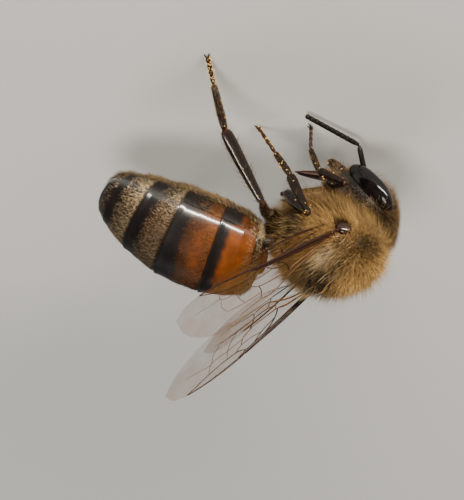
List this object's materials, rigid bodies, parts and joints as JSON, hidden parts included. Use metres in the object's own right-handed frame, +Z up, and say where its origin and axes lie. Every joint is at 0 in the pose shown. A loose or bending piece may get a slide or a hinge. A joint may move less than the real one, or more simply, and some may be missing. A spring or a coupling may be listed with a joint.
{
  "type": "honey bee model",
  "caption": "Life-size still model of a worker honey bee on its feet, head bowed to feed, wings swept up and back, with a furry thorax and an orange and black banded abdomen.",
  "frame": {"origin": "bottom centre of the bounding box, on the floor midway along and across the bee", "axes": "-X is where the head points, +X the tip of the abdomen, -Y the bee's left side, +Z up"},
  "size_m": [0.013, 0.0126, 0.012],
  "materials": {
    "thorax_coat": "dense soft fur, grey-tan on the back and golden on the sides, modelled as solid tufts",
    "head_coat": "black shell under short pale and brown hair",
    "black_shell": "smooth black-brown shell",
    "leg_shell": "black-brown shell with short golden hairs and pollen grains",
    "orange_shell": "orange-brown shell with black rear bands and tan hair bands",
    "dark_shell": "black-brown shell with tan-grey hair bands",
    "eye": "glossy black compound eye with fine facets",
    "mouthparts": "reddish brown shell with pale hairs",
    "wing": "clear brown membrane with dark red-brown veins"
  },
  "bodies": {
    "root": {"abdomen_1": "orange_shell", "abdomen_2": "orange_shell", "abdomen_3": "orange_shell", "abdomen_4": "dark_shell", "abdomen_5": "dark_shell", "abdomen_6": "dark_shell", "basitarsus_front_left": "leg_shell", "basitarsus_front_right": "leg_shell", "basitarsus_hind_left": "leg_shell", "basitarsus_hind_right": "leg_shell", "basitarsus_mid_left": "leg_shell", "basitarsus_mid_right": "leg_shell", "coxa_front_left": "leg_shell", "coxa_front_right": "leg_shell", "coxa_hind_left": "leg_shell", "coxa_hind_right": "leg_shell", "coxa_mid_left": "leg_shell", "coxa_mid_right": "leg_shell", "eye_left": "eye", "eye_right": "eye", "femur_front_left": "leg_shell", "femur_front_right": "leg_shell", "femur_hind_left": "leg_shell", "femur_hind_right": "leg_shell", "femur_mid_left": "leg_shell", "femur_mid_right": "leg_shell", "flagellum_left": "black_shell", "flagellum_right": "black_shell", "forewing_left": "wing", "forewing_right": "wing", "head": "head_coat", "hindwing_left": "wing", "hindwing_right": "wing", "mandible_left": "mouthparts", "mandible_right": "mouthparts", "petiole": "black_shell", "proboscis": "mouthparts", "scape_left": "black_shell", "scape_right": "black_shell", "tarsus_front_left": "leg_shell", "tarsus_front_right": "leg_shell", "tarsus_hind_left": "leg_shell", "tarsus_hind_right": "leg_shell", "tarsus_mid_left": "leg_shell", "tarsus_mid_right": "leg_shell", "tegula_left": "black_shell", "tegula_right": "black_shell", "thorax": "thorax_coat", "tibia_front_left": "leg_shell", "tibia_front_right": "leg_shell", "tibia_hind_left": "leg_shell", "tibia_hind_right": "leg_shell", "tibia_mid_left": "leg_shell", "tibia_mid_right": "leg_shell"}
  },
  "joints": []
}
